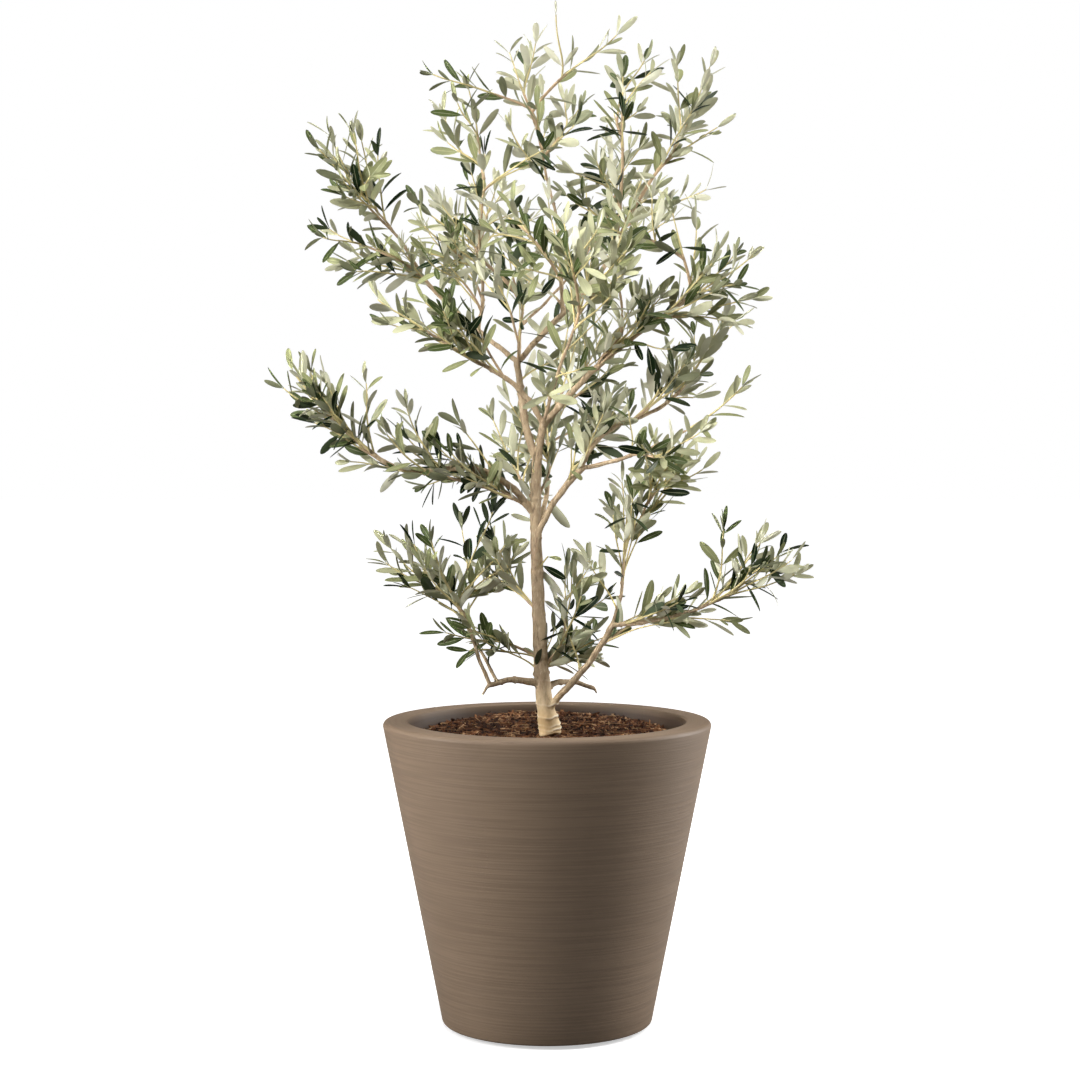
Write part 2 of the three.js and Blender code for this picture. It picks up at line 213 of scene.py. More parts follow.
def node_arrays(name):
    mesh = frame["nodes"][name].data
    co = np.empty(len(mesh.vertices) * 3)
    mesh.vertices.foreach_get("co", co)
    mesh.calc_loop_triangles()
    tri = np.empty(len(mesh.loop_triangles) * 3, dtype=np.int64)
    mesh.loop_triangles.foreach_get("vertices", tri)
    return co.reshape(-1, 3), tri.reshape(-1, 3)


def new_object(name, mesh, materials):
    for m in materials:
        mesh.materials.append(m)
    obj = bpy.data.objects.new(name, mesh)
    bpy.context.scene.collection.objects.link(obj)
    return obj


def mesh_from(name, verts, faces, material_index=None, smooth=True):
    """A mesh from joined arrays of corners and faces."""
    mesh = bpy.data.meshes.new(name)
    mesh.from_pydata(np.asarray(verts).tolist(), [], faces)
    if material_index is not None:
        mesh.polygons.foreach_set("material_index", np.asarray(material_index, dtype=np.int32))
    mesh.polygons.foreach_set("use_smooth", np.full(len(mesh.polygons), smooth))
    mesh.update()
    return mesh


def mesh_of(bm, name):
    """A smooth mesh of a bmesh, which ends here."""
    for face in bm.faces:
        face.smooth = True
    mesh = bpy.data.meshes.new(name)
    bm.to_mesh(mesh)
    bm.free()
    return mesh


def finish_piece(obj, nodes=()):
    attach(obj, "root")
    if nodes:
        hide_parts(*nodes)
    return obj


# ---- shader groups ----
def new_group(name, inputs, outputs):
    """A shader node group with named sockets; returns it with its input and output nodes."""
    group = bpy.data.node_groups.new(name, "ShaderNodeTree")
    for label, kind, value in inputs:
        socket = group.interface.new_socket(label, in_out="INPUT", socket_type=kind)
        if value is not None:
            socket.default_value = value
    for label, kind in outputs:
        group.interface.new_socket(label, in_out="OUTPUT", socket_type=kind)
    return group, group.nodes.new("NodeGroupInput"), group.nodes.new("NodeGroupOutput")


def new_node(tree, kind, **inputs):
    """A node with its inputs linked or set by name, "_" standing for a space."""
    node = tree.nodes.new(kind)
    for label, value in inputs.items():
        socket = node.inputs[label.replace("_", " ")]
        if isinstance(value, bpy.types.NodeSocket):
            tree.links.new(value, socket)
        else:
            socket.default_value = value
    return node


def add_noise(tree, vector, scale, detail=4.0, rough=0.55):
    return new_node(tree, "ShaderNodeTexNoise", Vector=vector, Scale=scale, Detail=detail,
                    Roughness=rough).outputs["Fac"]


def add_attribute(tree, name):
    node = tree.nodes.new("ShaderNodeAttribute")
    node.attribute_name = name
    return node.outputs["Fac"]


def add_math(tree, kind, a, b=None, clamp=False):
    n = tree.nodes.new("ShaderNodeMath")
    n.operation = kind
    n.use_clamp = clamp
    for i, value in enumerate((a, b)):
        if value is None:
            continue
        if isinstance(value, (int, float)):
            n.inputs[i].default_value = value
        else:
            tree.links.new(value, n.inputs[i])
    return n.outputs[0]


def add_sum(tree, *parts):
    """The sum of pairs of a value and its weight."""
    total = None
    for value, weight in reversed(parts):
        part = add_math(tree, "MULTIPLY", value, weight)
        total = part if total is None else add_math(tree, "ADD", part, total)
    return total


def add_scaled(tree, vector, scale):
    return new_node(tree, "ShaderNodeMapping", Vector=vector, Scale=scale).outputs["Vector"]


def add_range(tree, value, low, high, to_low=0.0, to_high=1.0):
    return new_node(tree, "ShaderNodeMapRange", Value=value, From_Min=low, From_Max=high,
                    To_Min=to_low, To_Max=to_high).outputs["Result"]


def add_mix(tree, factor, a, b, blend="MIX"):
    n = tree.nodes.new("ShaderNodeMix")
    n.data_type = "RGBA"
    n.blend_type = blend
    for socket, value in ((n.inputs[0], factor), (n.inputs[6], a), (n.inputs[7], b)):
        if isinstance(value, (int, float)):
            socket.default_value = value
        elif isinstance(value, tuple):
            socket.default_value = (*value, 1.0) if len(value) == 3 else value
        else:
            tree.links.new(value, socket)
    return n.outputs[2]


def add_layer(tree, shade, value, low, high, amount, colour):
    """A shade with a colour laid over it, more and more as a value goes from low to high."""
    return add_mix(tree, add_range(tree, value, low, high, 0.0, amount), shade, colour)


def mottle_group():
    """Slow changes of shade over a surface, and a fine grain on top."""
    group, i, o = new_group(
        "mottle",
        [("Vector", "NodeSocketVector", None), ("Patch Scale", "NodeSocketFloat", 8.0),
         ("Grain Scale", "NodeSocketFloat", 300.0)],
        [("Patches", "NodeSocketFloat"), ("Grain", "NodeSocketFloat")])
    for label, scale in (("Patches", "Patch Scale"), ("Grain", "Grain Scale")):
        grain = add_noise(group, i.outputs["Vector"], i.outputs[scale], 3.0, 0.5)
        group.links.new(grain, o.inputs[label])
    return group


MOTTLE = mottle_group()


def new_material(name, colour, roughness, specular=0.5):
    material = bpy.data.materials.new(name)
    material.use_nodes = True
    material.diffuse_color = (*colour, 1.0)
    tree = material.node_tree
    shader = tree.nodes["Principled BSDF"]
    shader.inputs["Base Color"].default_value = (*colour, 1.0)
    shader.inputs["Roughness"].default_value = roughness
    shader.inputs["Specular IOR Level"].default_value = specular
    return material, tree, shader


def object_vector(tree):
    return tree.nodes.new("ShaderNodeTexCoord").outputs["Object"]


def add_mottle(tree, vector, patch_scale, grain_scale):
    n = tree.nodes.new("ShaderNodeGroup")
    n.node_tree = MOTTLE
    tree.links.new(vector, n.inputs["Vector"])
    n.inputs["Patch Scale"].default_value = patch_scale
    n.inputs["Grain Scale"].default_value = grain_scale
    return n.outputs["Patches"], n.outputs["Grain"]


def add_bump(tree, shader, height, strength, distance):
    bump = new_node(tree, "ShaderNodeBump", Strength=strength, Distance=distance, Height=height)
    tree.links.new(bump.outputs["Normal"], shader.inputs["Normal"])


def planter_material():
    """Taupe moulded body with fine turned lines, which run round the wall and the rim."""
    material, tree, shader = new_material("planter_taupe", (0.235, 0.185, 0.145), 0.55, 0.25)
    place = object_vector(tree)
    x, y, z = new_node(tree, "ShaderNodeSeparateXYZ", Vector=place).outputs
    radius = add_math(tree, "SQRT", add_sum(tree, (x, x), (y, y)))
    run = add_math(tree, "SUBTRACT", z, radius)
    lined = new_node(tree, "ShaderNodeCombineXYZ", X=x, Y=y, Z=run).outputs[0]
    fine = add_noise(tree, add_scaled(tree, lined, (6.0, 6.0, 440.0)), 1.0, 1.0)
    broad = add_noise(tree, add_scaled(tree, lined, (9.0, 9.0, 90.0)), 1.0, 3.0)
    patches, grain = add_mottle(tree, place, 7.0, 700.0)
    shade = add_layer(tree, (0.2, 0.14, 0.092), patches, 0.3, 0.7, 1.0, (0.226, 0.159, 0.106))
    shade = add_layer(tree, shade, fine, 0.38, 0.62, 0.42, (0.145, 0.1, 0.066))
    shade = add_layer(tree, shade, broad, 0.45, 0.75, 0.06, (0.31, 0.24, 0.18))
    # Painted highlight: the top few millimetres of the rim are made lighter, as if lit from above
    shade = add_layer(tree, shade, z, *RIM_HIGHLIGHT_LEVELS, 0.85, (0.33, 0.25, 0.185))
    # Painted shade: the inner wall under the mouth is given a dark colour that stands for the
    # shade inside the pot
    inner_shade_ring = add_range(tree, radius, MOUTH_RADIUS + 0.5 * MM, MOUTH_RADIUS - 1.5 * MM)
    inside = add_math(tree, "MULTIPLY", inner_shade_ring, add_range(tree, z, *INNER_SHADE_LEVELS))
    shade = add_mix(tree, inside, shade, (0.078, 0.052, 0.036))
    tree.links.new(shade, shader.inputs["Base Color"])
    tree.links.new(add_range(tree, broad, 0.2, 0.8, 0.48, 0.62), shader.inputs["Roughness"])
    height = add_sum(tree, (fine, 0.8), (broad, 0.2), (grain, 0.25))
    add_bump(tree, shader, height, 0.55, 0.9 * MM)
    return material


def bark_material():
    """Greige bark with long streaks, cream at the trunk's foot and on its scars."""
    material, tree, shader = new_material("olive_bark", (0.34, 0.27, 0.19), 0.78, 0.3)
    place = object_vector(tree)
    long_way = add_scaled(tree, place, (1.0, 1.0, 0.28))
    streaks = add_noise(tree, long_way, 260.0, 5.0, 0.65)
    patches, grain = add_mottle(tree, place, 34.0, 900.0)
    shade = add_layer(tree, (0.42, 0.31, 0.19), add_attribute(tree, "girth"), 0.0, 1.0, 1.0,
                      (0.4, 0.3, 0.185))
    shade = add_layer(tree, shade, patches, 0.42, 0.66, 0.6, (0.25, 0.18, 0.11))
    shade = add_layer(tree, shade, streaks, 0.52, 0.66, 0.75, (0.125, 0.082, 0.046))
    shade = add_layer(tree, shade, streaks, 0.44, 0.32, 0.7, (0.62, 0.51, 0.36))
    cream = add_layer(tree, (0.98, 0.78, 0.48), patches, 0.36, 0.64, 1.0, (0.62, 0.42, 0.2))
    shade = add_mix(tree, add_math(tree, "MULTIPLY", add_attribute(tree, "foot"), 0.9, True),
                    shade, cream)
    shade = add_mix(tree, add_attribute(tree, "scar"), shade, (1.0, 0.9, 0.7))
    shade = add_mix(tree, add_attribute(tree, "crack"), shade, (0.3, 0.16, 0.06))
    tree.links.new(shade, shader.inputs["Base Color"])
    tree.links.new(add_range(tree, grain, 0.2, 0.8, 0.66, 0.9), shader.inputs["Roughness"])
    add_bump(tree, shader, add_sum(tree, (streaks, 1.0), (grain, 0.35)), 0.45, 1.2 * MM)
    return material


def plain_material(name, colour, roughness, specular, vary):
    """One plain colour with a light, slow change of shade and roughness."""
    material, tree, shader = new_material(name, colour, roughness, specular)
    patches, grain = add_mottle(tree, object_vector(tree), 22.0, 420.0)
    darker = tuple(c * (1 - vary) for c in colour)
    lighter = tuple(min(1.0, c * (1 + vary)) for c in colour)
    tree.links.new(add_layer(tree, darker, patches, 0.35, 0.65, 1.0, lighter),
                   shader.inputs["Base Color"])
    tree.links.new(add_range(tree, grain, 0.2, 0.8, roughness - 0.06, roughness + 0.08),
                   shader.inputs["Roughness"])
    return material


# ---- the limbs, read from the frame ----
def section(co, tri, origin, normal):
    """Centre and area of the slice that a plane cuts from a closed mesh."""
    h = ((co - origin) @ normal)[tri]
    above = h > 0
    crossing = above.any(1) & ~above.all(1)
    t3, h3, a3 = tri[crossing], h[crossing], above[crossing]
    starts, ends = np.zeros((len(t3), 3)), np.zeros((len(t3), 3))
    for k in range(3):
        n = (k + 1) % 3
        t = h3[:, k] / np.where(a3[:, k] != a3[:, n], h3[:, k] - h3[:, n], 1.0)
        point = co[t3[:, k]] + (co[t3[:, n]] - co[t3[:, k]]) * t[:, None]
        down = a3[:, k] & ~a3[:, n]
        rise = ~a3[:, k] & a3[:, n]
        starts[down] = point[down]
        ends[rise] = point[rise]
    if not len(starts):
        return None, 0.0
    near = norm((starts + ends) / 2 - origin, axis=1) < 0.03
    starts, ends = starts[near], ends[near]
    if not len(starts):
        return None, 0.0
    middle = starts.mean(0)
    part = np.cross(starts - middle, ends - middle) @ normal / 2
    area = part.sum()
    if abs(area) < 1e-9:
        return middle, 0.0
    centre = ((starts + ends + middle) / 3 * part[:, None]).sum(0) / area
    return centre, abs(area)


def limb_course(name, slices=15):
    """Points along the middle of a limb's solid, and its radius at each."""
    co, tri = node_arrays(name)
    middle = co.mean(0)
    way = np.linalg.svd(co - middle, full_matrices=False)[2][0]
    reach = (co - middle) @ way
    low, high = reach.min(), reach.max()
    points = []
    for t in np.linspace(0.04, 0.96, slices):
        level = low + (high - low) * t
        guess = middle + way * level
        near = np.abs(reach - level) < (high - low) * 0.15
        if near.any():
            guess = co[near].mean(0)
            guess += way * (level - (guess - middle) @ way)
        centre, _ = section(co, tri, guess, way)
        if centre is not None:
            points.append(centre)
    points = np.array(points)
    points = np.vstack([points[0] * 1.4 - points[1] * 0.4, points,
                        points[-1] * 1.5 - points[-2] * 0.5])
    areas = [section(co, tri, p, way)[1] for p, way in zip(points, directions(points))]
    radii = np.sqrt(np.array(areas) / math.pi)
    usual = np.median(radii)
    good = (radii > 0.4 * usual) & (radii < 2.6 * usual)
    index = np.arange(len(radii))
    radii = np.interp(index, index[good], radii[good])
    if name != "trunk":
        radii = np.polyval(np.polyfit(index, radii, 1), index)
    return points, radii * LIMB_FULLNESS


def resample(points, radii, step):
    """The course again in even steps, smoothed, with its radii and how far along each is."""
    run = run_along(points)
    count = max(4, int(round(run[-1] / step)) + 1)
    at = np.linspace(0, run[-1], count)
    even = np.column_stack([np.interp(at, run, points[:, i]) for i in range(3)])
    for _ in range(3):
        even[1:-1] = even[1:-1] * 0.5 + (even[:-2] + even[2:]) * 0.25
    return even, np.interp(at, run, radii), at


class Shoot:
    """A limb, twig or leafy shoot: points along it, radius at each, and what it grows on."""

    def __init__(self, points, radii, kind, parent=None, place=0):
        self.points = np.asarray(points)
        self.radii = np.asarray(radii)
        self.kind = kind
        self.parent = parent
        self.place = place
        self.run = run_along(self.points)
        self.ways = directions(self.points)
        self.last = 0           # the furthest point that bears a leaf or a leafy shoot

    @property
    def length(self):
        return self.run[-1]


def read_limbs():
    """Every limb of the frame as a Shoot, each running from its foot to its tip."""
    names = [n for n in frame["nodes"] if n.startswith(("trunk", "stem", "bough"))]
    courses = {n: limb_course(n) for n in names}
    limbs = {}
    points, radii = courses.pop("trunk")
    if points[0][2] > points[-1][2]:
        points, radii = points[::-1], radii[::-1]
    points, radii, _ = resample(points, radii, LIMB_STEP)
    limbs["trunk"] = Shoot(points, radii, "limb")
    while courses:
        grown = np.vstack([s.points for s in limbs.values()])
        best = None
        for name, (points, _) in courses.items():
            for end in (0, -1):
                away = norm(grown - points[end], axis=1).min()
                if best is None or away < best[0]:
                    best = (away, name, end)
        _, name, end = best
        points, radii = courses.pop(name)
        if end == -1:
            points, radii = points[::-1], radii[::-1]
        start = grown[norm(grown - points[0], axis=1).argmin()]
        points = np.vstack([start, points])
        radii = np.concatenate([[radii[0]], radii])
        points, radii, _ = resample(points, radii, LIMB_STEP)
        limbs[name] = Shoot(points, radii, "limb")
    return limbs


# ---- growth ----
class Mass:
    """A leaf mass of the frame: its middle, its tips and a test for what lies inside."""

    def __init__(self, name):
        co, tri = node_arrays(name)
        self.co = co
        self.tree = BVHTree.FromPolygons(co.tolist(), tri.tolist())
        a, b, c = co[tri[:, 0]], co[tri[:, 1]], co[tri[:, 2]]
        piece = np.einsum("ij,ij->i", a, np.cross(b, c)) / 6
        self.middle = ((a + b + c) / 4 * piece[:, None]).sum(0) / piece.sum()
        self.low, self.high = co.min(0), co.max(0)

    def depth(self, point):
        """How deep a point lies under the surface, negative outside."""
        near, normal, _, away = self.tree.find_nearest(Vector(point))
        inside = (Vector(point) - near).dot(normal) < 0
        return away if inside else -away

    def tips(self):
        """The ends of its lobes: the furthest corners, well apart from each other."""
        away = self.co - self.middle
        far = norm(away, axis=1)
        usual = np.median(far)
        found = []
        for i in np.argsort(-far):
            if far[i] < 1.12 * usual or len(found) == MOST_TIPS:
                break
            way = away[i] / far[i]
            if all(way @ w < 0.8 for _, w in found):
                found.append((self.co[i], way))
        return [p for p, _ in found]


class Plant:
    """The skeleton so far, and the rule by which a new shoot joins it."""

    def __init__(self, limbs):
        self.shoots = []
        self.cache = None
        self.bare_below = limbs["trunk"].points[0][2] + BARE_TRUNK
        for limb in limbs.values():
            self.add(limb)

    def add(self, shoot):
        self.shoots.append(shoot)
        n = len(shoot.points)
        wood = shoot.kind == "limb"
        keep = np.arange(min(4 if wood else 1, n - 1), n)
        late = shoot.run[keep] > BASAL_SHARE * shoot.length if not wood else keep < 0
        barred = shoot.points[keep][:, 2] < self.bare_below if wood else keep < 0
        rows = [shoot.points[keep], shoot.ways[keep], np.full(len(keep), len(self.shoots) - 1),
                keep, late * 0.05 + barred * 0.3, np.full(len(keep), not wood)]
        if self.cache is None:
            self.cache = rows
        else:
            self.cache = [np.concatenate([a, b]) for a, b in zip(self.cache, rows)]
        return shoot

    def room(self, point):
        """How far a point is from the nearest leafy shoot."""
        points, leafy = self.cache[0], self.cache[5]
        away = norm(points - point, axis=1)
        return away[leafy].min() if leafy.any() else 1.0

    def join_place(self, target, outward, shortest):
        """The best place to branch from: near, below, and already heading that way."""
        points, ways, owner, index, extra, _ = self.cache
        v = target - points
        d = norm(v, axis=1) + 1e-9
        turn = np.einsum("ij,ij->i", v, ways) / d
        lean = v @ outward / d
        cost = d + 0.08 * (1 - turn) ** 2 - 0.05 * lean + extra
        cost = cost + 3.0 * np.maximum(shortest - d, 0) + 2.5 * np.maximum(d - LONG_REACH, 0)
        cost = cost + 0.12 * np.maximum(EASY_RISE - v[:, 2] / d, 0)
        i = int(np.argmin(cost))
        return int(owner[i]), int(index[i])

    def grow_to(self, target, outward, kind, shortest, lift=0.2):
        owner, index = self.join_place(target, outward, shortest)
        parent = self.shoots[owner]
        return self.grow(owner, index, parent.points[index], parent.ways[index],
                         target, kind, lift)

    def grow(self, owner, index, start, along, target, kind, lift=0.2):
        v = target - start
        d = float(norm(v))
        way = v / d
        leave = unit(0.45 * along + way)
        arrive = unit(way + UP * lift + rng.normal(0, 0.08, 3))
        b1 = start + leave * d * 0.33
        b2 = target - arrive * d * 0.3
        t = np.linspace(0, 1, max(4, int(d / SHOOT_STEP) + 2))[:, None]
        points = ((1 - t) ** 3 * start + 3 * (1 - t) ** 2 * t * b1
                  + 3 * (1 - t) * t ** 2 * b2 + t ** 3 * target)
        side = across_of(way)
        other = np.cross(way, side)
        phase = rng.uniform(0, ROUND, 2)
        swing = np.sin(np.pi * t[:, 0]) * 0.012 * d
        points = points + (side * (swing * np.sin(5 * t[:, 0] + phase[0]))[:, None]
                           + other * (swing * np.sin(6 * t[:, 0] + phase[1]))[:, None])
        points[0] = start
        return self.add(Shoot(points, np.full(len(points), SHOOT_TIP_RADIUS), kind, owner, index))


def continue_limbs(plant, limbs, masses):
    """A leafy leader carries on from the end of every bough that ends in leaves."""
    feet = np.array([limb.points[0] for limb in limbs.values()])
    for owner, limb in enumerate(limbs.values()):
        tip, along = limb.points[-1], limb.ways[-1]
        if norm(feet - tip, axis=1).min() < 14 * MM or tip[2] < plant.bare_below:
            continue
        for length, lean in ((rng.uniform(85, 125) * MM, 0.12), (rng.uniform(50, 80) * MM, 0.6)):
            out = any_side(along)
            way = unit(along + out * lean + UP * 0.15)
            target = tip + way * length
            mass = max(masses, key=lambda m: m.depth(target))
            if mass.depth(target) > -25 * MM:
                plant.grow(owner, len(limb.points) - 1, tip, along, target, "leader")


def grow_sprouts(plant, limbs):
    """Short leafy sprouts along the boughs, where nothing else grows near them."""
    for owner, (name, limb) in enumerate(limbs.items()):
        at = (BARE_TRUNK + 60 * MM) if name == "trunk" else 45 * MM
        while at < limb.length:
            at += rng.uniform(20, 45) * MM
            index = min(int(np.searchsorted(limb.run, at)), len(limb.points) - 1)
            start, along = limb.points[index], limb.ways[index]
            out = any_side(along)
            way = unit(along * rng.uniform(0.4, 1.0) + out + UP * 0.3)
            target = start + way * rng.uniform(55, 85) * MM
            if target[2] > plant.bare_below and plant.room(target) > SPROUT_ROOM:
                plant.grow(owner, index, start, along, target, "twig")


def grow_masses(plant, masses):
    """Leading shoots to the tips of each mass, then seeded shoots wherever one is open."""
    grown = np.vstack([s.points for s in plant.shoots])
    order = sorted(masses, key=lambda m: norm(grown - m.middle, axis=1).min())
    for mass in order:
        for tip in sorted(mass.tips(), key=lambda p: -norm(p - mass.middle)):
            way = unit(tip - mass.middle)
            target = tip - way * TIP_INSET
            plant.grow_to(target, way, "leader", LEADER_SHORTEST, 0.2 if way[2] > -0.3 else -0.1)
    for mass in order:
        missed = 0
        while missed < FILL_TRIES:
            missed += 1
            p = rng.uniform(mass.low, mass.high)
            if mass.depth(p) < FILL_DEPTH or plant.room(p) < FILL_ROOM:
                continue
            outward = unit(unit(p - mass.middle) + UP * 0.35)
            plant.grow_to(p, outward, "twig", FILL_SHORTEST)
            missed = 0


def set_girths(plant):
    """Each shoot is as thick as what it carries asks for."""
    carried = [np.zeros(len(s.points)) for s in plant.shoots]
    for i in range(len(plant.shoots) - 1, -1, -1):
        shoot = plant.shoots[i]
        if shoot.kind == "limb":
            continue
        left = shoot.length - shoot.run
        own = SHOOT_TIP_RADIUS + SHOOT_TAPER * left
        later = np.cumsum(carried[i][::-1])[::-1]
        shoot.radii = np.sqrt(own ** 2 + 0.45 * later)
        parent = plant.shoots[shoot.parent]
        if parent.kind == "limb":
            limit = parent.radii[shoot.place] * 0.86
            if shoot.radii[0] > limit:
                share = limit / shoot.radii[0]
                shoot.radii = np.maximum(shoot.radii * share, SHOOT_TIP_RADIUS * 0.9)
        else:
            carried[shoot.parent][shoot.place] += shoot.radii[0] ** 2


# ---- tubes ----
def tube_arrays(points, radii, sides):
    """Corners and faces of one closed tapering tube with a rounded end."""
    n = len(points)
    ways = directions(points)
    side = across_of(ways[0])
    angles = np.arange(sides) * 2 * math.pi / sides
    verts = np.zeros((n * sides + 2, 3))
    for i in range(n):
        side = unit(side - ways[i] * (side @ ways[i]))
        other = np.cross(ways[i], side)
        ring = np.outer(np.cos(angles), side) + np.outer(np.sin(angles), other)
        verts[i * sides:(i + 1) * sides] = points[i] + ring * radii[i]
    verts[-2] = points[0] - ways[0] * radii[0] * 0.3
    verts[-1] = points[-1] + ways[-1] * radii[-1] * 0.8
    faces = []
    for i in range(n - 1):
        a = i * sides
        for k in range(sides):
            m = (k + 1) % sides
            faces.append((a + k, a + m, a + sides + m, a + sides + k))
    last = (n - 1) * sides
    for k in range(sides):
        m = (k + 1) % sides
        faces.append((n * sides, m, k))
        faces.append((n * sides + 1, last + k, last + m))
    return verts, faces


class Pile:
    """Many small closed shapes gathered into one mesh."""

    def __init__(self):
        self.verts, self.faces, self.slots, self.count = [], [], [], 0

    def add(self, verts, faces, slot=0):
        self.verts.append(np.asarray(verts))
        self.faces.extend(tuple(i + self.count for i in f) for f in faces)
        self.slots.extend(slot if isinstance(slot, list) else [slot] * len(faces))
        self.count += len(verts)

    def mesh(self, name, smooth=True):
        return mesh_from(name, np.vstack(self.verts), self.faces, self.slots, smooth)


# ---- bark ----
def swollen(limb, spacing):
    """A limb's tube with a slight sway, and a swelling at each old leaf node."""
    points, radii, run = resample(limb.points, limb.radii, BARK_STEP)
    phase = rng.uniform(0, ROUND, 4)
    span = run[-1]
    sway = np.minimum(1.0, np.minimum(run, span - run) / (20 * MM)) * 0.45 * MM
    along = directions(points)[len(points) // 2]
    side = across_of(along)
    other = unit(np.cross(along, side))
    points = points + np.outer(sway * np.sin(run * 105 + phase[0]), side)
    points = points + np.outer(sway * np.sin(run * 137 + phase[1]), other)
    nodes = []
    at = rng.uniform(0.4, 1.0) * spacing
    while at < span - 6 * MM:
        swell = 0.11 * np.exp(-((run - at) / (2.6 * MM)) ** 2)
        radii = radii * (1 + swell)
        nodes.append(int(np.argmin(np.abs(run - at))))
        at += spacing * rng.uniform(0.7, 1.25)
    return points, radii, nodes


def knot(pile, centre, size):
    bm = bmesh.new()
    bmesh.ops.create_icosphere(bm, subdivisions=2, radius=1.0)
    co = np.array([v.co for v in bm.verts]) * np.asarray(size)
    faces = [[v.index for v in f.verts] for f in bm.faces]
    bm.free()
    pile.add(np.asarray(centre) + co, faces)


def add_stub(pile, points, radii, length, outward):
    """An arch along the bough, and the dead stub that carries on from its end."""
    t = np.linspace(0, 1, len(points))
    points[:, 2] += 4.5 * MM * np.sin(np.pi * t) * (1 - 0.4 * t)
    start, along = points[-1], unit(points[-1] - points[-6])
    way = unit(along * 0.8 + np.array([outward, 0, -0.75]))
    s = np.linspace(0, 1, 7)[:, None]
    course = start - along * 2 * MM + way * length * s + UP * length * 0.12 * np.sin(5 * s)
    pile.add(*tube_arrays(course, np.linspace(0.85, 0.5, 7) * radii[-1], 10))
    knot(pile, course[3] + UP * radii[-1] * 0.5, [radii[-1] * 0.5] * 3)
    near_foot = points[len(points) // 5]
    knot(pile, near_foot + UP * radii[0], [1.5 * MM, 1.5 * MM, 2.4 * MM])


def bark_tubes(limbs):
    """Tubes and knots for all the limbs, with the points and the radii they follow."""
    pile = Pile()
    skeleton, girths = [], []
    for name, limb in limbs.items():
        points, radii, nodes = swollen(limb, TRUNK_NODES if name == "trunk" else BOUGH_NODES)
        if name in STUB_BOUGHS:
            add_stub(pile, points, radii, *STUB_BOUGHS[name])
        if name != "trunk":
            radii[-1] *= 0.8
        pile.add(*tube_arrays(points, radii, 20 if name == "trunk" else 12))
        skeleton.append(points)
        girths.append(radii)
        ways = directions(points)
        for k in nodes:
            out = any_side(ways[k])
            for sign in (1, -1):
                if rng.random() < KNOT_CHANCE:
                    r = radii[k]
                    size = min(0.42 * r + 0.5 * MM, 2.6 * MM) * rng.uniform(0.7, 1.2)
                    knot(pile, points[k] + out * sign * (r - size * 0.35), [size] * 3)
    return pile, np.vstack(skeleton), np.concatenate(girths)


def skin_over(pile):
    """One closed and smoothed skin over a pile of tubes: its mesh and its open bmesh."""
    obj = new_object("bark_tubes", pile.mesh("bark_tubes"), [])
    remesh = obj.modifiers.new("skin", "REMESH")
    remesh.mode = "VOXEL"
    remesh.voxel_size = BARK_VOXEL
    depsgraph = bpy.context.evaluated_depsgraph_get()
    skin = bpy.data.meshes.new_from_object(obj.evaluated_get(depsgraph))
    bpy.data.objects.remove(obj)
    bm = bmesh.new()
    bm.from_mesh(skin)
    for _ in range(4):
        bmesh.ops.smooth_vert(bm, verts=bm.verts, factor=0.5, use_axis_x=True,
                              use_axis_y=True, use_axis_z=True)
    bm.normal_update()
    return skin, bm


def foot_relief(co, foot):
    """Cracked ledges round the trunk's foot, and low roots that run out of it."""
    height = co[:, 2] - foot[2]
    close = norm(co[:, :2] - foot[:2], axis=1) < FOOT_REACH
    spin = np.arctan2(co[:, 1] - foot[1], co[:, 0] - foot[0])
    move, scar, crack = (np.zeros(len(co)) for _ in range(3))
    for level, size in RING_SCARS:
        wobble = level * MM + 1.6 * MM * np.sin(2 * spin + level) + 0.8 * MM * np.sin(5 * spin)
        ledge = np.exp(-((height - wobble) / (1.3 * MM)) ** 2)
        lip = np.exp(-((height - wobble + 2.6 * MM) / (1.2 * MM)) ** 2)
        gap = np.where(close, size * (0.55 + 0.45 * np.sin(spin * 1.5 + level)), 0.0)
        move += MM * gap * (ledge - 0.7 * lip)
        crack = np.maximum(crack, 0.6 * gap * lip)
        scar = np.maximum(scar, 0.75 * gap * ledge)
    roots = np.cos(3 * spin + 0.6) * 1.6 * MM * np.exp(-np.maximum(height, 0) / (16 * MM))
    bulge = (3.2 * MM * np.exp(-((height - 16 * MM) / (11 * MM)) ** 2)
             * np.maximum(np.cos(spin - 0.25), 0) ** 2)
    move += np.where(close & (height < 70 * MM), roots + bulge, 0.0)
    pale = np.exp(-(np.maximum(height, 0) / FOOT_PALE_HEIGHT) ** 2) * close
    return move, {"scar": scar, "crack": crack, "foot": pale}


def build_bark(limbs, material):
    """Trunk, stems and boughs under one skin, with bark relief and the scars of the foot."""
    pile, skeleton, girths = bark_tubes(limbs)
    skin, bm = skin_over(pile)
    co = np.array([v.co for v in bm.verts])
    normals = np.array([v.normal for v in bm.verts])
    girth = girths[nearest_rows(co, skeleton)]
    relief = np.array([0.5 * noise.noise(Vector((x * 260, y * 260, z * 46)))
                       + 0.75 * noise.noise(Vector((x * 90, y * 90, z * 34)))
                       for x, y, z in co])
    move = relief * np.interp(girth, [2 * MM, 6 * MM, 14 * MM], [0.12 * MM, 0.34 * MM, 0.75 * MM])
    foot_move, values = foot_relief(co, limbs["trunk"].points[0])
    co = co + normals * (move + foot_move)[:, None]
    for v, place in zip(bm.verts, co):
        v.co = place
    bm.to_mesh(skin)
    bm.free()
    skin.polygons.foreach_set("use_smooth", np.ones(len(skin.polygons), dtype=bool))
    values["girth"] = np.interp(girth, [2.5 * MM, 9 * MM], [0, 1])
    for name, value in values.items():
        attribute = skin.attributes.new(name, "FLOAT", "POINT")
        attribute.data.foreach_set("value", np.clip(value, 0, 1).astype(np.float32))
    skin.name = "trunk_and_boughs"
    return new_object("trunk_and_boughs", skin, [material])


